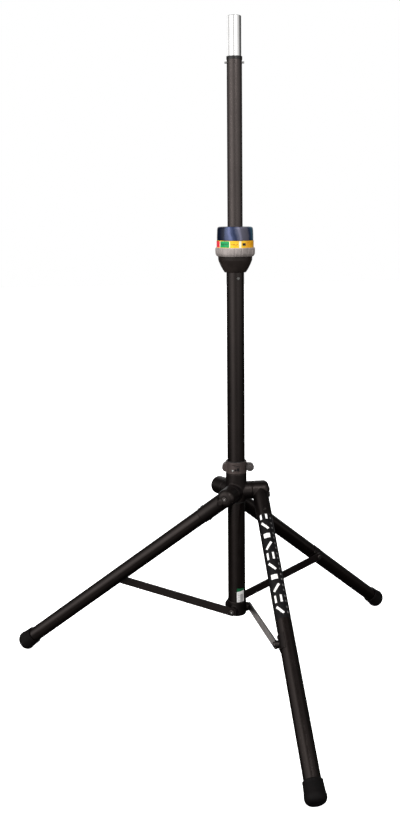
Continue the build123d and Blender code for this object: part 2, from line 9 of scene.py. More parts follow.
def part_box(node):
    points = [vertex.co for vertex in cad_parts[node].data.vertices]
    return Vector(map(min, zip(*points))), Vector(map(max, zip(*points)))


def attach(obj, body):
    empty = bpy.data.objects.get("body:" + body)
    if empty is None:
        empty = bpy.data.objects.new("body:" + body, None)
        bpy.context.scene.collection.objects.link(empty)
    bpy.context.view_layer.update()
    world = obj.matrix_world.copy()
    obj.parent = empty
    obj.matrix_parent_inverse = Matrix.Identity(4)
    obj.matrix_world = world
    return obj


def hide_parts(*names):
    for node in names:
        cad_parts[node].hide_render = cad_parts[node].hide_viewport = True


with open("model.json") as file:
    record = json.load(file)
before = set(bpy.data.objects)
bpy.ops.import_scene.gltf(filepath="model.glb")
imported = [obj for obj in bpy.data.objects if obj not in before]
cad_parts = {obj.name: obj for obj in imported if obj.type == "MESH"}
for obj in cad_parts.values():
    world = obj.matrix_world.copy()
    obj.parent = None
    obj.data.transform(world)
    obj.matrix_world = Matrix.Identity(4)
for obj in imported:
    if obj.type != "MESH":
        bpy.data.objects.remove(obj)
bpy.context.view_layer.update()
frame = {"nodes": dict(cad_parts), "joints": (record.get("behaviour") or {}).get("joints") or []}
nodes = frame["nodes"]
joints = {joint["name"]: joint for joint in frame["joints"]}

MM = 0.001

# --- where things are, read from the frame ------------------------------------------------
MAST_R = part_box("lower_mast_tube")[1].x
UPPER_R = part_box("upper_mast_tube")[1].x
LEG_R = 18.75 * MM
LEG_ANGLE = math.radians(37.8)
LEG_LENGTH = 761 * MM
LEG_AZIMUTHS = {1: -90, 2: 30, 3: 150}
VIEW_AZIMUTH = -99.5        # from the mast towards the camera, degrees

UP = Vector((0, 0, 1))


def polar(azimuth, radius=1.0, z=0.0):
    """A point at this azimuth in degrees about the mast's axis."""
    a = math.radians(azimuth)
    return Vector((radius * math.cos(a), radius * math.sin(a), z))


class Leg:
    """One leg's own axes at rest: outward, sideways, along the tube and across its top."""

    def __init__(self, number):
        azimuth = LEG_AZIMUTHS[number]
        self.outward = polar(azimuth)
        self.side = polar(azimuth + 90)
        self.pivot = Vector(joints[f"leg_{number}_fold"]["pos_m"])
        self.along = self.outward * math.cos(LEG_ANGLE) - UP * math.sin(LEG_ANGLE)
        self.top = self.outward * math.sin(LEG_ANGLE) + UP * math.cos(LEG_ANGLE)

    def surface(self, distance, angle, radius):
        """A point on the tube; the angle runs from its top towards its side, in radians."""
        across = self.top * math.cos(angle) + self.side * math.sin(angle)
        return self.pivot + self.along * distance + across * radius


LEGS = {number: Leg(number) for number in LEG_AZIMUTHS}

# --- materials ----------------------------------------------------------------------------


NOISE_LOW, NOISE_HIGH = 0.3, 0.7        # most of a noise texture lies between these


class Shader:
    """A Principled material with a few helpers for procedural detail."""

    def __init__(self, name, **sockets):
        self.material = bpy.data.materials.new(name)
        self.material.use_nodes = True
        self.tree = self.material.node_tree
        self.bsdf = self.tree.nodes["Principled BSDF"]
        self.coords = self.tree.nodes.new("ShaderNodeTexCoord").outputs["Object"]
        for socket, value in sockets.items():
            self.bsdf.inputs[socket.replace("_", " ")].default_value = value

    def node(self, kind, **values):
        made = self.tree.nodes.new(kind)
        for key, value in values.items():
            setattr(made, key, value)
        return made

    def link(self, source, target):
        self.tree.links.new(source, target)

    def noise(self, scale, detail=3.0, roughness=0.5, stretch=None):
        """Noise in metres: scale is cycles per metre, and stretch multiplies each axis."""
        texture = self.node("ShaderNodeTexNoise")
        texture.inputs["Scale"].default_value = scale
        texture.inputs["Detail"].default_value = detail
        texture.inputs["Roughness"].default_value = roughness
        source = self.coords
        if stretch:
            mapping = self.node("ShaderNodeMapping")
            mapping.inputs["Scale"].default_value = stretch
            self.link(source, mapping.inputs["Vector"])
            source = mapping.outputs["Vector"]
        self.link(source, texture.inputs["Vector"])
        return texture.outputs["Fac"]

    def ramp(self, factor, stops):
        """Colours along a factor; stops is a list of (position, colour)."""
        ramp = self.node("ShaderNodeValToRGB")
        ramp.color_ramp.interpolation = "EASE"
        elements = ramp.color_ramp.elements
        while len(elements) < len(stops):
            elements.new(0.5)
        for element, (position, colour) in zip(elements, stops):
            element.position = position
            element.color = (*colour, 1.0)
        self.link(factor, ramp.inputs["Fac"])
        return ramp.outputs["Color"]

    def mottle(self, scale, detail, dark, light):
        """Soft patches between two tones."""
        return self.ramp(self.noise(scale, detail), [(NOISE_LOW, dark), (NOISE_HIGH, light)])

    def mix(self, factor, first, second):
        """Mix two colour outputs by a factor output."""
        mix = self.node("ShaderNodeMix", data_type="RGBA")
        self.link(factor, mix.inputs["Factor"])
        self.link(first, mix.inputs["A"])
        self.link(second, mix.inputs["B"])
        return mix.outputs["Result"]

    def spread(self, factor, low, high):
        """Map a noise factor to a range of values."""
        spread = self.node("ShaderNodeMapRange")
        spread.inputs["From Min"].default_value = NOISE_LOW
        spread.inputs["From Max"].default_value = NOISE_HIGH
        spread.inputs["To Min"].default_value = low
        spread.inputs["To Max"].default_value = high
        self.link(factor, spread.inputs["Value"])
        return spread.outputs["Result"]

    def colour(self, output):
        self.link(output, self.bsdf.inputs["Base Color"])

    def rough(self, factor, low, high):
        self.link(self.spread(factor, low, high), self.bsdf.inputs["Roughness"])

    def bumps(self, *layers):
        """Stack bump layers, each (height output, height in metres, strength)."""
        normal = None
        for height, distance, strength in layers:
            bump = self.node("ShaderNodeBump")
            bump.inputs["Distance"].default_value = distance
            bump.inputs["Strength"].default_value = strength
            self.link(height, bump.inputs["Height"])
            if normal:
                self.link(normal, bump.inputs["Normal"])
            normal = bump.outputs["Normal"]
        self.link(normal, self.bsdf.inputs["Normal"])


def coat(name, dark, light, roughness, grain, specular=0.4, scuffs=0.4):
    """Powder coat on metal: orange peel, soft patches of tone and a few fine scuffs."""
    s = Shader(name, Specular_IOR_Level=specular, Specular_Tint=(1.0, 0.85, 0.8, 1.0))
    tone = s.mottle(9, 4, dark, light)
    scuff_tone = tuple(min(1.0, channel * 2.2 + 0.003) for channel in light)
    streaks = s.noise(60, 5, 0.6, stretch=(6.0, 6.0, 0.35))
    scuff = s.ramp(streaks, [(0.0, (0, 0, 0)), (0.66, (0, 0, 0)), (0.78, (scuffs,) * 3)])
    worn = s.ramp(s.noise(400, 2), [(0.0, scuff_tone), (1.0, scuff_tone)])
    s.colour(s.mix(scuff, tone, worn))
    s.rough(s.noise(35, 4), roughness - 0.05, roughness + 0.06)
    s.bumps((s.noise(grain, 2), 0.15 * MM, 0.22), (s.noise(grain / 6, 3), 0.2 * MM, 0.12))
    return s.material


def rubber():
    s = Shader("foot_rubber", Specular_IOR_Level=0.15)
    tone = s.mottle(40, 4, (0.002, 0.0015, 0.0015), (0.004, 0.003, 0.003))
    dust = s.ramp(s.noise(260, 5, 0.7), [(0.55, (0, 0, 0)), (0.8, (0.3, 0.3, 0.3))])
    dusty = s.ramp(s.noise(30, 2), [(0.0, (0.010, 0.009, 0.008)), (1.0, (0.018, 0.016, 0.015))])
    s.colour(s.mix(dust, tone, dusty))
    s.rough(s.noise(80, 3), 0.55, 0.75)
    s.bumps((s.noise(1400, 2), 0.1 * MM, 0.4), (s.noise(150, 3), 0.2 * MM, 0.2))
    return s.material


def plastic(name, dark, light, roughness, texture_scale=1100, strength=0.35, specular=0.4):
    """Moulded plastic with a fine spark-eroded texture."""
    s = Shader(name, Specular_IOR_Level=specular)
    s.colour(s.mottle(30, 4, dark, light))
    s.rough(s.noise(70, 3), roughness - 0.06, roughness + 0.06)
    s.bumps((s.noise(texture_scale, 2), 0.12 * MM, strength), (s.noise(90, 2), 0.15 * MM, 0.15))
    return s.material


def cap_with_painted_reflections():
    """Dark blue gloss with painted reflections: its colour runs round the mast from its front,
    from near black through a painted violet highlight and grey mauve to teal.
    """
    s = Shader("blue_cap", Specular_IOR_Level=0.2, Coat_Weight=0.2, Coat_Roughness=0.05)
    turned = s.node("ShaderNodeVectorRotate", rotation_type="Z_AXIS")
    turned.inputs["Angle"].default_value = math.radians(-VIEW_AZIMUTH)
    s.link(s.coords, turned.inputs["Vector"])
    around = s.node("ShaderNodeTexGradient", gradient_type="RADIAL")
    s.link(turned.outputs["Vector"], around.inputs["Vector"])
    painted_reflection_angle = s.node("ShaderNodeMath", operation="MULTIPLY_ADD")
    painted_reflection_angle.inputs[1].default_value = 0.10
    s.link(s.noise(14, 2, 0.4, stretch=(1.0, 1.0, 1.8)), painted_reflection_angle.inputs[0])
    s.link(around.outputs["Fac"], painted_reflection_angle.inputs[2])
    # Painted reflections and highlights: bands of colour by angle from the front, with a little
    # noise, standing in for the studio mirrored in the gloss.
    stops = [
        (0.32, (0.002, 0.004, 0.012)),
        (0.44, (0.003, 0.005, 0.016)),
        (0.475, (0.045, 0.060, 0.125)),
        (0.503, (0.095, 0.115, 0.230)),
        (0.525, (0.030, 0.042, 0.095)),
        (0.545, (0.016, 0.024, 0.060)),
        (0.575, (0.070, 0.078, 0.125)),
        (0.592, (0.135, 0.135, 0.195)),
        (0.615, (0.070, 0.068, 0.095)),
        (0.661, (0.062, 0.060, 0.082)),
        (0.690, (0.014, 0.022, 0.050)),
        (0.740, (0.035, 0.090, 0.130)),
        (0.800, (0.006, 0.012, 0.030)),
    ]
    s.colour(s.ramp(painted_reflection_angle.outputs["Value"], stops))
    s.rough(s.noise(50, 3), 0.10, 0.18)
    s.bumps((s.noise(120, 2), 0.05 * MM, 0.12))
    return s.material


def bright_metal(name, dark, light, roughness, lines=(40.0, 40.0, 2600.0)):
    """Turned metal: fine rings round its axis and faint stains."""
    s = Shader(name, Metallic=1.0)
    s.colour(s.mottle(25, 4, dark, light))
    rings = s.noise(1, 3, 0.6, stretch=lines)
    s.rough(rings, roughness - 0.07, roughness + 0.09)
    s.bumps((rings, 0.02 * MM, 0.35), (s.noise(60, 3), 0.05 * MM, 0.1))
    return s.material


def print_ink(name, dark, light, roughness=0.3, specular=0.45):
    """Printed vinyl: nearly even colour, with a slight mottle."""
    s = Shader(name, Specular_IOR_Level=specular)
    s.colour(s.mottle(180, 4, dark, light))
    s.rough(s.noise(90, 3), roughness - 0.05, roughness + 0.08)
    s.bumps((s.noise(500, 2), 0.02 * MM, 0.2))
    return s.material


MATERIALS = {
    # coated metal: dark tone, light tone, roughness, grain, specular, scuffs
    "upper_coat": coat(
        "upper_coat", (0.010, 0.008, 0.008), (0.017, 0.014, 0.013), 0.30, 900, 0.9, 0.3
    ),
    "lower_coat": coat(
        "lower_coat", (0.002, 0.0013, 0.0012), (0.0045, 0.003, 0.0026), 0.22, 900, 0.5, 0.3
    ),
    "casting": coat(
        "casting", (0.002, 0.0014, 0.0013), (0.004, 0.003, 0.0028), 0.32, 600, 0.4, 0.2
    ),
    "bar": coat("bar", (0.003, 0.002, 0.002), (0.006, 0.0045, 0.004), 0.32, 800, 0.35),
    "ring": coat("ring", (0.016, 0.011, 0.010), (0.048, 0.037, 0.034), 0.32, 500, 0.7),
    "black_bolt": coat(
        "black_bolt", (0.010, 0.009, 0.008), (0.020, 0.018, 0.017), 0.20, 500, 1.0
    ),
    # rubber and plastics: dark tone, light tone, roughness, texture scale, strength, specular
    "end_ring": plastic(
        "end_ring", (0.004, 0.003, 0.003), (0.009, 0.008, 0.007), 0.3, 900, 0.2, 0.5
    ),
    "rubber": rubber(),
    "nylon": plastic("nylon", (0.012, 0.011, 0.011), (0.020, 0.019, 0.018), 0.5),
    "cone": plastic("cone", (0.013, 0.009, 0.008), (0.023, 0.017, 0.015), 0.45, specular=0.3),
    "knob": plastic("knob", (0.018, 0.014, 0.013), (0.050, 0.042, 0.040), 0.32, 900, 0.3, 0.8),
    "grip": plastic("grip", (0.20, 0.175, 0.165), (0.34, 0.30, 0.285), 0.48, 900, 0.3),
    "cap": cap_with_painted_reflections(),
    # bare metal: dark tone, light tone, roughness, frequency of the lines on each axis
    "adapter": bright_metal("adapter", (0.90, 0.89, 0.88), (0.97, 0.96, 0.95), 0.20),
    "zinc": bright_metal("zinc", (0.55, 0.55, 0.53), (0.75, 0.74, 0.72), 0.30, (900.0,) * 3),
    "dull_zinc": bright_metal(
        "dull_zinc", (0.16, 0.16, 0.15), (0.24, 0.23, 0.22), 0.34, (900.0,) * 3
    ),
    # inks: dark tone, light tone, roughness, specular
    "red": print_ink("red_ink", (0.58, 0.014, 0.030), (0.74, 0.040, 0.060)),
    "green": print_ink("green_ink", (0.002, 0.240, 0.060), (0.006, 0.330, 0.090)),
    "dark_green": print_ink("dark_green_ink", (0.001, 0.060, 0.018), (0.003, 0.100, 0.030)),
    "yellow": print_ink("yellow_ink", (0.780, 0.420, 0.010), (0.880, 0.520, 0.020)),
    "orange": print_ink("orange_ink", (0.760, 0.330, 0.008), (0.840, 0.400, 0.012)),
    "brown": print_ink("brown_ink", (0.420, 0.190, 0.010), (0.520, 0.250, 0.020)),
    "pale": print_ink("pale_ink", (0.85, 0.78, 0.50), (0.92, 0.86, 0.62)),
    "white": print_ink("white_ink", (0.78, 0.76, 0.75), (0.88, 0.86, 0.85)),
    "film": print_ink("film", (0.0015, 0.001, 0.0015), (0.003, 0.0025, 0.003), 0.45, 0.3),
    "black": print_ink("black_ink", (0.006, 0.006, 0.007), (0.012, 0.011, 0.012), 0.3),
    "grey_mark": print_ink("grey_mark", (0.20, 0.19, 0.19), (0.32, 0.30, 0.30)),
    "dim_mark": print_ink("dim_mark", (0.09, 0.09, 0.09), (0.16, 0.15, 0.15), 0.45),
}


def paint(obj, finish):
    """Give a whole object one material."""
    obj.data.materials.clear()
    obj.data.materials.append(MATERIALS[finish])


def each_leg(name):
    """The names of the three nodes that a leg or brace repeats."""
    return [f"{name}_{number}" for number in LEG_AZIMUTHS]


CAD_FINISH = {
    "upper_coat": ["upper_mast_tube"],
    "lower_coat": ["lower_mast_tube", *each_leg("leg_tube")],
    "casting": each_leg("brace_bracket"),
    "bar": each_leg("brace"),
    "nylon": ["guide_bush", "glide_bush", "collar_liner", "clamp_collet", "clamp_nut"],
    "rubber": ["mast_bumper"],
    "black_bolt": [
        "brace_hub_bolts",
        "leg_pivot_bolts",
        *each_leg("leg_rivets"),
        *each_leg("brace_bolt"),
    ],
    "zinc": ["clamp_hex_nut", "clamp_screw", "adapter_cross_pin", "ring_set_screw"],
    "dull_zinc": ["collar_rivets"],
    "end_ring": ["tube_end_ring"],
    "adapter": ["pole_adapter"],
    "cone": ["collar_cone"],
    "cap": ["top_cap"],
    "yellow": ["indicator_band"],
    "grip": ["grip_ring"],
    "ring": ["clamp_ring"],
    "knob": ["clamp_knob"],
}
for finish, names in CAD_FINISH.items():
    for name in names:
        paint(nodes[name], finish)

# --- mesh helpers -------------------------------------------------------------------------


def mesh_object(name, build, *finishes, smooth=True):
    """Make an object from a function that fills a bmesh."""
    mesh = bpy.data.meshes.new(name)
    for finish in finishes:
        mesh.materials.append(MATERIALS[finish])
    bm = bmesh.new()
    build(bm)
    bmesh.ops.remove_doubles(bm, verts=bm.verts, dist=1e-6)
    bmesh.ops.recalc_face_normals(bm, faces=bm.faces)
    bm.to_mesh(mesh)
    bm.free()
    for polygon in mesh.polygons:
        polygon.use_smooth = smooth
    obj = bpy.data.objects.new(name, mesh)
    bpy.context.scene.collection.objects.link(obj)
    return obj


def frame_on(axis):
    """Two directions square to an axis."""
    helper = UP if abs(axis.z) < 0.9 else Vector((1, 0, 0))
    first = axis.cross(helper).normalized()
    return first, axis.cross(first).normalized()


def lathe(name, profile, origin, axis, finish, segments, shape=None):
    """Turn a closed profile of (radius, height) points about an axis.
    shape(angle, radius, height) may change a point's radius."""
    first, second = frame_on(axis)

    def build(bm):
        rows = []
        for radius, height in profile:
            row = []
            for step in range(segments):
                angle = 2 * math.pi * step / segments
                r = shape(angle, radius, height) if shape else radius
                direction = first * math.cos(angle) + second * math.sin(angle)
                row.append(bm.verts.new(origin + axis * height + direction * r))
            rows.append(row)
        for low, high in [*zip(rows, rows[1:]), (rows[-1], rows[0])]:
            for step in range(segments):
                after = (step + 1) % segments
                bm.faces.new((low[step], low[after], high[after], high[step]))

    return mesh_object(name, build, finish)


def rounded(points, radius, steps):
    """Round every corner of a closed profile, by at most half of each side next to it."""
    result = []
    count = len(points)
    for index, here in enumerate(points):
        corner = Vector(here)
        before = Vector(points[index - 1]) - corner
        after = Vector(points[(index + 1) % count]) - corner
        reach = min(radius, before.length * 0.45, after.length * 0.45)
        start = corner + before.normalized() * reach
        end = corner + after.normalized() * reach
        for step in range(steps + 1):
            t = step / steps
            point = start * (1 - t) ** 2 + corner * (2 * t * (1 - t)) + end * t**2
            result.append((point.x, point.y))
    return result


def cast(node, finish, voxel=0.9 * MM, passes=10):
    """A casting: the node's solid with every corner and joint blended, as a mould leaves it."""
    source = nodes[node]
    piece = bpy.data.objects.new(f"{node}_cast", source.data.copy())
    bpy.context.scene.collection.objects.link(piece)
    remesh = piece.modifiers.new("remesh", "REMESH")
    remesh.mode = "VOXEL"
    remesh.voxel_size = voxel
    remesh.use_smooth_shade = True
    soften = piece.modifiers.new("soften", "SMOOTH")
    soften.factor = 0.5
    soften.iterations = passes
    depsgraph = bpy.context.evaluated_depsgraph_get()
    mesh = bpy.data.meshes.new_from_object(piece.evaluated_get(depsgraph))
    piece.modifiers.clear()
    piece.data = mesh
    for polygon in mesh.polygons:
        polygon.use_smooth = True
    paint(piece, finish)
    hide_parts(node)
    return piece


# --- castings -----------------------------------------------------------------------------
CASTING_BODIES = {"leg_collar_casting": "leg_collar", "brace_hub": "mast"}
for number in LEG_AZIMUTHS:
    CASTING_BODIES[f"leg_elbow_{number}"] = f"leg_{number}"
for node, body in CASTING_BODIES.items():
    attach(cast(node, "casting"), body)
# The ring is machined after casting, so its slots stay sharper.
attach(cast("clamp_ring", "ring", 0.6 * MM, 3), "leg_collar")

# --- ends of the pivot bolts --------------------------------------------------------------
BOLT_REACH = 12 * MM        # a bolt's own vertices lie within this of its axis
TIP_PROFILE = [
    (0.2 * MM, 0.9 * MM),
    (1.3 * MM, 0.7 * MM),
    (2.0 * MM, 0.2 * MM),
    (2.1 * MM, -0.4 * MM),
    (0.2 * MM, -0.4 * MM),
]


def bolt_tip(name, node, pivot, axis):
    """A small bright domed tip in the middle of a bolt's outer face."""
    matrix = nodes[node].matrix_world
    points = [matrix @ vertex.co - pivot for vertex in nodes[node].data.vertices]
    end = max(point.dot(axis) for point in points if point.cross(axis).length < BOLT_REACH)
    return lathe(name, TIP_PROFILE, pivot + axis * end, axis, "zinc", 24)


for number, leg in LEGS.items():
    tip = bolt_tip(f"leg_bolt_tip_{number}", "leg_pivot_bolts", leg.pivot, leg.side)
    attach(tip, "leg_collar")
    hub_pivot = Vector(joints[f"brace_{number}_fold"]["pos_m"])
    tip = bolt_tip(f"hub_bolt_tip_{number}", "brace_hub_bolts", hub_pivot, leg.side)
    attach(tip, "mast")

# --- rubber feet --------------------------------------------------------------------------
FOOT_LENGTH = 45 * MM
END_STEPS = 12


def foot_profile():
    """Bead at the mouth, a wall that flares towards the floor and a rounded end with a dimple."""
    start = LEG_LENGTH - FOOT_LENGTH
    outer = [
        (LEG_R + 0.1 * MM, start + 0.6 * MM),
        (LEG_R + 0.8 * MM, start),
        (21.3 * MM, start),
        (22.0 * MM, start + 0.9 * MM),
        (22.1 * MM, start + 3.2 * MM),
        (21.7 * MM, start + 4.2 * MM),
        (22.1 * MM, start + 8 * MM),
        (22.3 * MM, start + 14 * MM),
        (22.6 * MM, start + 19 * MM),
        (23.1 * MM, start + 24 * MM),
        (23.8 * MM, start + 28 * MM),
    ]
    # The rounded end is a cubic curve from the wall to the flat that touches the floor.
    corners = (
        (24.2 * MM, LEG_LENGTH - 15 * MM),
        (24.4 * MM, LEG_LENGTH - 6 * MM),
        (19.5 * MM, LEG_LENGTH),
        (10 * MM, LEG_LENGTH),
    )
    for step in range(END_STEPS + 1):
        t = step / END_STEPS
        weights = ((1 - t) ** 3, 3 * (1 - t) ** 2 * t, 3 * (1 - t) * t**2, t**3)
        radius = sum(weight * corner[0] for weight, corner in zip(weights, corners))
        distance = sum(weight * corner[1] for weight, corner in zip(weights, corners))
        outer.append((radius, distance))
    outer += [(8.6 * MM, LEG_LENGTH - 0.8 * MM), (0.5 * MM, LEG_LENGTH - 0.8 * MM)]
    inner = [(0.5 * MM, LEG_LENGTH - 7.9 * MM), (LEG_R + 0.1 * MM, LEG_LENGTH - 7.9 * MM)]
    return outer + inner


for number, leg in LEGS.items():
    foot = lathe(f"rubber_foot_{number}", foot_profile(), leg.pivot, leg.along, "rubber", 72)
    # A foot is flat where it stands.
    for vertex in foot.data.vertices:
        vertex.co.z = max(vertex.co.z, 0.0)
    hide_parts(f"leg_foot_{number}")
    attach(foot, f"leg_{number}")

# --- height collar ------------------------------------------------------------------------


def heights_and_radius(node):
    """The bottom, the top and the outer radius of a node round the mast."""
    low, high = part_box(node)
    return low.z, high.z, high.x


CAP_LOW, CAP_HIGH, CAP_R = heights_and_radius("top_cap")
BAND_LOW, BAND_HIGH, BAND_R = heights_and_radius("indicator_band")
GRIP_LOW, GRIP_HIGH, GRIP_R = heights_and_radius("grip_ring")
CONE_LOW, CONE_HIGH, CONE_R = heights_and_radius("collar_cone")
FLOOR_CENTRE = Vector((0, 0, 0))        # on the mast's axis

cap_profile = rounded(
    [
        (UPPER_R + 0.4 * MM, CAP_HIGH - 1.2 * MM),
        (UPPER_R + 2.5 * MM, CAP_HIGH),
        (CAP_R - 1.0 * MM, CAP_HIGH),
        (CAP_R, CAP_LOW + 12 * MM),
        (CAP_R, CAP_LOW),
        (CAP_R - 3 * MM, CAP_LOW),
        (CAP_R - 3.6 * MM, CAP_HIGH - 4 * MM),
        (UPPER_R + 0.4 * MM, CAP_HIGH - 4 * MM),
    ],
    7 * MM,
    8,
)
cap = lathe("height_collar_cap", cap_profile, FLOOR_CENTRE, UP, "cap", 160)
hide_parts("top_cap")
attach(cap, "twist_collar")

GRIP_GROOVES = 18
GRIP_BORE = 37 * MM
GRIP_SKIN = 42 * MM         # what lies inside this radius isn't shaped
GROOVE_DEPTH = 1.3 * MM
GROOVE_WIDTH = 0.10         # as a share of the pitch
LAND_FALL = 1.6 * MM


def grip_shape(angle, radius, height):
    """Broad flat lands with a narrow groove between them, fading out at both ends."""
    if radius < GRIP_SKIN:
        return radius
    t = (height - GRIP_LOW) / (GRIP_HIGH - GRIP_LOW)
    fade = min(1.0, max(0.0, 4 * t)) * min(1.0, max(0.0, 6 * (1 - t)))
    phase = (angle * GRIP_GROOVES / (2 * math.pi)) % 1.0
    groove = math.exp(-(((phase - 0.5) / GROOVE_WIDTH) ** 2))
    flat = abs(phase - 0.5) ** 2
    return radius - fade * (GROOVE_DEPTH * groove + LAND_FALL * flat)


grip_profile = rounded(
    [
        (GRIP_BORE, GRIP_HIGH),
        (GRIP_R - 1.5 * MM, GRIP_HIGH),
        (GRIP_R, GRIP_HIGH - 2 * MM),
        (GRIP_R, GRIP_HIGH - 6 * MM),
        (GRIP_R, GRIP_HIGH - 11 * MM),
        (GRIP_R - 0.3 * MM, GRIP_HIGH - 16 * MM),
        (46 * MM, GRIP_LOW),
        (GRIP_BORE, GRIP_LOW),
    ],
    1.6 * MM,
    4,
)
grip = lathe("twist_grip", grip_profile, FLOOR_CENTRE, UP, "grip", 540, grip_shape)
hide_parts("grip_ring")
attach(grip, "twist_collar")

cone_profile = rounded(
    [
        (MAST_R + 0.1 * MM, CONE_LOW),
        (26.6 * MM, CONE_LOW),
        (27.6 * MM, CONE_LOW + 1.2 * MM),
        (30.8 * MM, CONE_LOW + 6 * MM),
        (33.7 * MM, CONE_LOW + 11 * MM),
        (36.3 * MM, CONE_LOW + 16 * MM),
        (38.6 * MM, CONE_LOW + 21 * MM),
        (40.7 * MM, CONE_LOW + 26 * MM),
        (42.5 * MM, CONE_LOW + 31 * MM),
        (CONE_R - 1.1 * MM, CONE_HIGH - 4 * MM),
        (CONE_R, CONE_HIGH - 0.6 * MM),
        (CONE_R, CONE_HIGH),
        (CONE_R - 3 * MM, CONE_HIGH),
        (CONE_R - 3 * MM, CONE_HIGH - 3 * MM),
        (29 * MM, CONE_LOW + 9 * MM),
        (MAST_R + 0.1 * MM, CONE_LOW + 8 * MM),
    ],
    1.2 * MM,
    4,
)
cone = lathe("height_collar_cone", cone_profile, FLOOR_CENTRE, UP, "cone", 128)
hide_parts("collar_cone")
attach(cone, "mast")

DEGREES_PER_COLUMN = 3


def band_patch(bm, azimuth_low, azimuth_high, z_low, z_high, radius, material, columns=None):
    """A strip of print on a cylinder about the mast's axis."""
    columns = columns or max(2, int((azimuth_high - azimuth_low) / DEGREES_PER_COLUMN))
    rows = []
    for z in (z_low, z_high):
        row = []
        for step in range(columns + 1):
            azimuth = azimuth_low + (azimuth_high - azimuth_low) * step / columns
            row.append(bm.verts.new(polar(azimuth, radius, z)))
        rows.append(row)
    for step in range(columns):
        face = bm.faces.new((rows[0][step], rows[0][step + 1], rows[1][step + 1], rows[1][step]))
        face.material_index = material


PRINT_LIFT = 0.12 * MM
OVERPRINT_LIFT = 0.2 * MM
BAND_MARGIN = 0.8 * MM
BAND_MARK_HALF = 3.2 * MM   # half the height of the black mark
BAND_INKS = ("red", "green", "pale", "black", "dark_green", "orange", "brown")
# Sectors of ink, by degrees from the front; the band itself is yellow.
BAND_SECTORS = (
    (-90, -55, "red"),
    (-55, -52, "pale"),
    (-52, -18, "green"),
    (-18, -16, "pale"),
    (12, 19, "pale"),
    (34, 90, "orange"),
)
BARS_PER_ROW = 5
# Rows of small bars: the first bar's angle, the pitch, a bar's width, its half height, its ink.
BAND_BARS = (
    (-47, 5, 3.0, 1.8 * MM, "dark_green"),
    (-12, 4.4, 2.4, 1.6 * MM, "brown"),
)


def band_print(bm):
    """Coloured sectors of the lock scale, seen from the front, and again on the far side."""
    low, high = BAND_LOW + BAND_MARGIN, BAND_HIGH - BAND_MARGIN
    middle = (low + high) / 2
    radius = BAND_R + PRINT_LIFT
    over = BAND_R + OVERPRINT_LIFT
    for turn in (0, 180):
        front = VIEW_AZIMUTH + turn
        for start, end, ink in BAND_SECTORS:
            band_patch(bm, front + start, front + end, low, high, radius, BAND_INKS.index(ink))
        ink = BAND_INKS.index("black")
        bottom, top = middle - BAND_MARK_HALF, middle + BAND_MARK_HALF
        band_patch(bm, front + 23, front + 34, bottom, top, over, ink)
        for first, pitch, width, half, name in BAND_BARS:
            ink = BAND_INKS.index(name)
            for step in range(BARS_PER_ROW):
                start = front + first + pitch * step
                band_patch(bm, start, start + width, middle - half, middle + half, over, ink)


band = mesh_object("lock_scale_print", band_print, *BAND_INKS)
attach(band, "twist_collar")

RING_R = 27 * MM
# Painted shade: dark patches standing in for shadowed recesses, by azimuth in degrees and by
# height from the ring's middle.
RING_SHADE_PATCHES = (
    (-108, -98, -6.0 * MM, -1.0 * MM),
    (-95, -84, -6.5 * MM, 1.5 * MM),
    (-110, -88, 5.0 * MM, 6.6 * MM),
)


def paint_ring_shade(bm):
    """Painted shade beside the ring's set screw: dark patches where recesses would lie in shadow.
    """
    low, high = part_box("clamp_ring")
    middle = (low.z + high.z) / 2
    for start, end, bottom, top in RING_SHADE_PATCHES:
        band_patch(bm, start, end, middle + bottom, middle + top, RING_R + OVERPRINT_LIFT, 0)


# The dark film ink paints shade on the ring here.
ring_shade = mesh_object("ring_painted_shade", paint_ring_shade, "film")
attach(ring_shade, "leg_collar")

# --- clamp knob ---------------------------------------------------------------------------
knob_joint = joints["clamp_knob_turn"]
KNOB_AXIS = Vector(knob_joint["axis"]).normalized()
KNOB_CENTRE = Vector(knob_joint["pos_m"])
KNOB_START = 5.4 * MM
KNOB_R = 11 * MM
KNOB_THICK = 8.6 * MM
KNOB_END = KNOB_START + KNOB_THICK
KNOB_BORE = 3.1 * MM
RIM_DEPTH = 1.8 * MM
FLUTE_DEPTH = 0.9 * MM
FLUTES = 18


def knurl(angle, radius, height):
    """Rounded flutes round the knob's rim."""
    if radius < KNOB_R - RIM_DEPTH:
        return radius
    return radius - FLUTE_DEPTH * abs(math.sin(FLUTES / 2 * angle)) ** 3


knob_profile = rounded(
    [
        (KNOB_BORE, KNOB_START),
        (KNOB_R - 1.5 * MM, KNOB_START),
        (KNOB_R, KNOB_START + 1.5 * MM),
        (KNOB_R, KNOB_END - 3 * MM),
        (KNOB_R - 2.2 * MM, KNOB_END - 0.6 * MM),
        (6.0 * MM, KNOB_END - 1.2 * MM),
        (5.2 * MM, KNOB_END),
        (0.3 * MM, KNOB_END),
        (0.3 * MM, KNOB_END - 2.9 * MM),
        (KNOB_BORE, KNOB_END - 2.9 * MM),
    ],
    0.9 * MM,
    4,
)
knob = lathe("knurled_clamp_knob", knob_profile, KNOB_CENTRE, KNOB_AXIS, "knob", 216, knurl)
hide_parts("clamp_knob")
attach(knob, "knob")

# --- printed trim -------------------------------------------------------------------------
STICKER_LOW = 182 * MM
STICKER_HIGH = 231 * MM
STICKER_LEFT = VIEW_AZIMUTH + 1
STICKER_RIGHT = VIEW_AZIMUTH + 53
STICKER_COLUMNS = 18


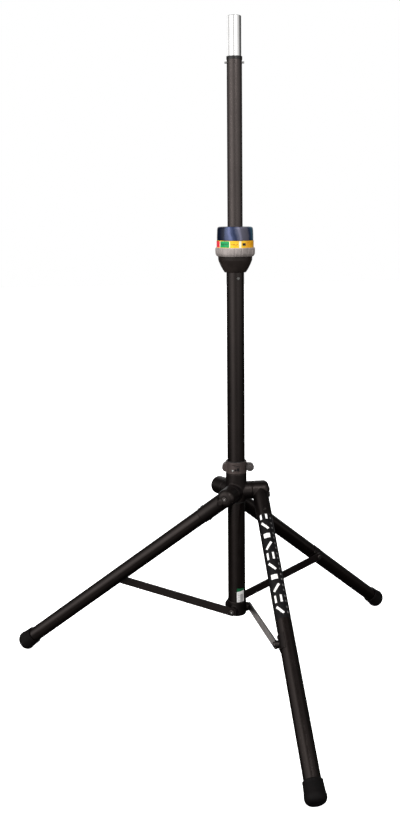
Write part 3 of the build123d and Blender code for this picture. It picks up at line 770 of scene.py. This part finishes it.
def label(bm):
    """The small white sticker with a green stripe along its top, low on the mast."""
    left, right = STICKER_LEFT, STICKER_RIGHT
    film = MAST_R + 0.15 * MM
    over = MAST_R + 0.25 * MM
    rows = []
    for step in range(STICKER_COLUMNS + 1):
        t = step / STICKER_COLUMNS
        azimuth = left + (right - left) * t
        corner = 2.5 * MM * (abs(2 * t - 1) ** 8)
        low = STICKER_LOW + corner
        stripe = STICKER_HIGH - (9.0 - 3.0 * t) * MM
        heights = (low, stripe, STICKER_HIGH - 1.5 * MM * t)
        rows.append([bm.verts.new(polar(azimuth, film, z)) for z in heights])
    for before, after in zip(rows, rows[1:]):
        for part in (0, 1):
            face = bm.faces.new((before[part], after[part], after[part + 1], before[part + 1]))
            face.material_index = part
    # Grey bars for lines of text, and black ones beside them.
    for row in range(7):
        z = STICKER_LOW + (8 + row * 4.4) * MM
        width = 12 if row % 3 else 8
        band_patch(bm, left + 6, left + 6 + width, z, z + 1.0 * MM, over, 2, 6)
    for bar in range(5):
        azimuth = left + 23 + 4.4 * bar
        end = azimuth + (2.6 if bar % 2 else 1.7)
        low, high = STICKER_LOW + 10 * MM, STICKER_LOW + 34 * MM
        band_patch(bm, azimuth, end, low, high, over, 3, 4)


sticker = mesh_object("mast_sticker", label, "white", "dark_green", "grey_mark", "black")
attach(sticker, "mast")

PRINT_START = 80 * MM
PRINT_PITCH = 28.2 * MM
PRINT_COUNT = 10
PRINT_ANGLE = -0.35         # the large marks' middle, from the tube's top, in radians
SMALL_ANGLE = 0.58          # the small marks' middle
FILM_ANGLE = PRINT_ANGLE + 0.2
FILM_WIDTH = 46 * MM
STROKE_STEP = 2 * MM        # so that a stroke bends round the tube
FILM, LARGE_INK, SMALL_INK = 0, 1, 2


def leg_stroke(bm, leg, start, end, width, angle, lift, material):
    """A straight stroke on the leg's tube, from start to end as (along, across) in metres."""
    start, end = Vector(start), Vector(end)
    run = (end - start).normalized()
    half = Vector((-run.y, run.x)) * width / 2
    steps = max(2, int((end - start).length / STROKE_STEP))
    across_steps = max(2, int(width / STROKE_STEP))
    grid = []
    for i in range(steps + 1):
        centre = start.lerp(end, i / steps)
        row = []
        for j in range(across_steps + 1):
            point = centre + half * (2 * j / across_steps - 1)
            place = leg.surface(point.x, angle + point.y / LEG_R, LEG_R + lift)
            row.append(bm.verts.new(place))
        grid.append(row)
    for i in range(steps):
        for j in range(across_steps):
            corners = (grid[i][j], grid[i][j + 1], grid[i + 1][j + 1], grid[i + 1][j])
            bm.faces.new(corners).material_index = material


def leg_print(bm):
    """A generic printed pattern on a dark film: a row of large white marks of four kinds in turn
    and a row of small grey ones beside it."""
    leg = LEGS[1]
    middle = PRINT_START + PRINT_PITCH * PRINT_COUNT / 2
    length = PRINT_PITCH * PRINT_COUNT + 8 * MM
    start, end = (middle - length / 2, 0), (middle + length / 2, 0)
    leg_stroke(bm, leg, start, end, FILM_WIDTH, FILM_ANGLE, PRINT_LIFT, FILM)

    def large(start, end, width):
        leg_stroke(bm, leg, start, end, width, PRINT_ANGLE, OVERPRINT_LIFT, LARGE_INK)

    for index in range(PRINT_COUNT):
        a = PRINT_START + PRINT_PITCH * index + 3 * MM
        b = a + PRINT_PITCH - 10 * MM
        kind = index % 4
        if kind == 0:
            large((a, -7 * MM), (b, -7 * MM), 5 * MM)
            large((a, 7 * MM), (b, 7 * MM), 5 * MM)
        elif kind == 1:
            large((a, -8 * MM), (b, 7 * MM), 5.5 * MM)
        elif kind == 2:
            large((a + 3 * MM, 0), (b - 3 * MM, 0), 16 * MM)
        else:
            large((a, 8 * MM), (b, -7 * MM), 5.5 * MM)
        for dot in range(2):
            d = a + dot * 13 * MM
            ends = (d, 0), (d + 5 * MM, 0)
            leg_stroke(bm, leg, *ends, 4 * MM, SMALL_ANGLE, OVERPRINT_LIFT, SMALL_INK)


decal = mesh_object("leg_print", leg_print, "film", "white", "dim_mark")
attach(decal, "leg_1")

# --- floor, light and camera --------------------------------------------------------------


def bright_floor():
    """A pale sweep, lit so evenly that it has no shade of its own."""
    s = Shader("floor", Emission_Strength=1.0)
    tone = s.mottle(2, 3, (0.99, 0.99, 0.99), (1.0, 1.0, 1.0))
    s.colour(tone)
    s.link(tone, s.bsdf.inputs["Emission Color"])
    s.rough(s.noise(5, 3), 0.8, 0.9)
    return s.material


MATERIALS["floor"] = bright_floor()


FLOOR_REACH = 12.0


def floor_plane(bm):
    """A square floor under the stand."""
    reach = FLOOR_REACH
    corners = [(-reach, -reach, 0), (reach, -reach, 0), (reach, reach, 0), (-reach, reach, 0)]
    bm.faces.new([bm.verts.new(corner) for corner in corners])


floor = mesh_object("floor", floor_plane, "floor", smooth=False)
# The floor is seen, but neither mirrored nor bounced; SURROUND stands in for it.
floor.visible_glossy = False
floor.visible_diffuse = False


WORLD_STRENGTH = 2.0
# Brightness round the stand by degrees from its front, towards its right-hand side, at three
# heights: well below eye level, a little below it, and from eye level up. Each height is the
# sine of the angle above the horizon.
SURROUND = [
    (-0.32, [
        (-180, 0.06), (-158, 0.05), (-140, 0.01), (-84, 0.02), (-66, 0.08), (-49, 0.21),
        (-33, 0.31), (-15, 0.27), (0, 0.19), (15, 0.09), (31, 0.05), (47, 0.03), (140, 0.01),
        (158, 0.05), (180, 0.06),
    ]),
    (-0.13, [
        (-180, 0.24), (-158, 0.18), (-140, 0.0), (-100, 0.0), (-84, 0.06), (-66, 0.28),
        (-49, 0.68), (-33, 0.87), (-15, 0.5), (0, 0.28), (15, 0.27), (31, 0.42), (47, 0.30),
        (64, 0.21), (84, 0.13), (104, 0.0), (140, 0.0), (158, 0.18), (180, 0.24),
    ]),
    (-0.02, [
        (-180, 0.34), (-158, 0.26), (-140, 0.01), (-122, 0.01), (-104, 0.12), (-80, 0.55),
        (-60, 0.94), (-42, 0.98), (-24, 0.59), (-8, 0.28), (8, 0.32), (24, 0.54), (42, 0.50),
        (60, 0.41), (80, 0.28), (104, 0.03), (140, 0.01), (158, 0.26), (180, 0.34),
    ]),
]
# A share of that brightness from straight down, 0, over the horizon, 0.5, to straight up, 1.
WORLD_UP = [
    (0.0, 0.05), (0.35, 0.5), (0.45, 1.0), (0.6, 1.0), (0.8, 0.8), (0.9, 0.8), (0.97, 0.15),
    (1.0, 0.1),
]


def studio_world():
    """A studio that lights the stand: bright in front, dim behind and darker below.
    The camera itself sees plain white."""
    world = bpy.data.worlds.new("studio")
    world.use_nodes = True
    tree = world.node_tree
    background = tree.nodes["Background"]
    background.inputs["Strength"].default_value = WORLD_STRENGTH

    def node(kind, **values):
        made = tree.nodes.new(kind)
        for key, value in values.items():
            setattr(made, key, value)
        return made

    def ramp(factor, stops):
        made = node("ShaderNodeValToRGB")
        elements = made.color_ramp.elements
        while len(elements) < len(stops):
            elements.new(0.5)
        for element, (position, tone) in zip(elements, stops):
            element.position = position
            element.color = (tone, tone, tone, 1.0)
        tree.links.new(factor, made.inputs["Fac"])
        return made.outputs["Color"]

    def span(value, low, high):
        """From 0 at low to 1 at high."""
        made = node("ShaderNodeMapRange")
        made.inputs["From Min"].default_value = low
        made.inputs["From Max"].default_value = high
        tree.links.new(value, made.inputs["Value"])
        return made.outputs["Result"]

    def mix(factor, first, second):
        made = node("ShaderNodeMix", data_type="RGBA")
        tree.links.new(factor, made.inputs["Factor"])
        tree.links.new(first, made.inputs["A"])
        tree.links.new(second, made.inputs["B"])
        return made.outputs["Result"]

    direction = node("ShaderNodeTexCoord").outputs["Generated"]
    turned = node("ShaderNodeVectorRotate", rotation_type="Z_AXIS")
    turned.inputs["Angle"].default_value = math.radians(-VIEW_AZIMUTH)
    tree.links.new(direction, turned.inputs["Vector"])
    around = node("ShaderNodeTexGradient", gradient_type="RADIAL")
    tree.links.new(turned.outputs["Vector"], around.inputs["Vector"])
    parts = node("ShaderNodeSeparateXYZ")
    tree.links.new(direction, parts.inputs["Vector"])
    rise = parts.outputs["Z"]

    heights = [height for height, _ in SURROUND]
    rings = [
        ramp(around.outputs["Fac"], [(0.5 + angle / 360, tone) for angle, tone in tones])
        for _, tones in SURROUND
    ]
    sides = rings[0]
    for low, high, ring in zip(heights, heights[1:], rings[1:]):
        sides = mix(span(rise, low, high), sides, ring)
    both = node("ShaderNodeMix", data_type="RGBA", blend_type="MULTIPLY")
    both.inputs["Factor"].default_value = 1.0
    tree.links.new(sides, both.inputs["A"])
    tree.links.new(ramp(span(rise, -1.0, 1.0), WORLD_UP), both.inputs["B"])
    seen = node("ShaderNodeMix", data_type="RGBA")
    seen.inputs["B"].default_value = (*[1.0 / WORLD_STRENGTH] * 3, 1.0)
    tree.links.new(node("ShaderNodeLightPath").outputs["Is Camera Ray"], seen.inputs["Factor"])
    tree.links.new(both.outputs["Result"], seen.inputs["A"])
    tree.links.new(seen.outputs["Result"], background.inputs["Color"])
    bpy.context.scene.world = world


studio_world()
bpy.context.scene.view_settings.view_transform = "Standard"


def soft_light(name, place, target, size, power, mirrored=False, only=(), colour=(1, 1, 1)):
    """A square area light that faces a target. If any nodes are named, it lights only those."""
    light = bpy.data.lights.new(name, "AREA")
    light.size = size
    light.energy = power
    light.color = colour
    obj = bpy.data.objects.new(name, light)
    obj.location = place
    obj.rotation_euler = (Vector(target) - Vector(place)).to_track_quat("-Z", "Y").to_euler()
    obj.visible_glossy = mirrored
    obj.visible_camera = False
    bpy.context.scene.collection.objects.link(obj)
    if only:
        lit = bpy.data.collections.new(f"{name}_lit")
        for node in only:
            lit.objects.link(nodes[node])
        obj.light_linking.receiver_collection = lit


MIDDLE = (0, 0, 0.9)
WARM = (1, 0.92, 0.88)
soft_light("key", (-2.6, -0.9, 1.7), MIDDLE, 1.0, 55)
soft_light("fill", (0.9, -3.2, 1.6), MIDDLE, 1.6, 25)
soft_light("top", (-0.3, -0.8, 3.6), MIDDLE, 1.6, 45)
soft_light("arm_glow", (0.35, -1.9, 2.3), (0.1, 0, 0.5), 0.8, 10, True)
soft_light("back", (0.6, 3.0, 1.8), MIDDLE, 1.6, 12)
# These two stand in for the bright wall and floor that one piece mirrors at a low angle.
soft_light("adapter_side", (-0.97, 1.14, 1.9), (0, 0, 1.62), 1.2, 5, True, ["pole_adapter"])
soft_light("floor_glow", (-0.05, 0.4, 0.004), (-0.05, 0.4, 1), 1.2, 2.9, True, ["brace_1"], WARM)

# The camera stands in front and a little to the left, level with the upper third.
SENSOR = 36.0
FOCAL_SHARE = 1.1955        # focal length over the sensor's longer side
SHIFT_X, SHIFT_Y = -0.0492, -0.1662
CAMERA_PLACE = Vector((-0.4038, -2.4298, 1.2119))
CAMERA_HEADING = 80.263     # degrees from +X towards +Y
CAMERA_PITCH = 4.158        # degrees below level
CAMERA_ROLL = -0.238

heading, pitch, roll = (math.radians(v) for v in (CAMERA_HEADING, CAMERA_PITCH, CAMERA_ROLL))
forward = Vector(
    (
        math.cos(heading) * math.cos(pitch),
        math.sin(heading) * math.cos(pitch),
        -math.sin(pitch),
    )
)
right = Vector((math.sin(heading), -math.cos(heading), 0))
upright = right.cross(forward)
rolled_right = right * math.cos(roll) + upright * math.sin(roll)
rolled_up = upright * math.cos(roll) - right * math.sin(roll)
camera_data = bpy.data.cameras.new("camera")
camera_data.sensor_width = SENSOR
camera_data.lens = SENSOR * FOCAL_SHARE
camera_data.shift_x = SHIFT_X
camera_data.shift_y = SHIFT_Y
camera_data.dof.use_dof = False
camera = bpy.data.objects.new("camera", camera_data)
axes = Matrix((rolled_right, rolled_up, -forward)).transposed().to_4x4()
camera.matrix_world = Matrix.Translation(CAMERA_PLACE) @ axes
bpy.context.scene.collection.objects.link(camera)
bpy.context.scene.camera = camera
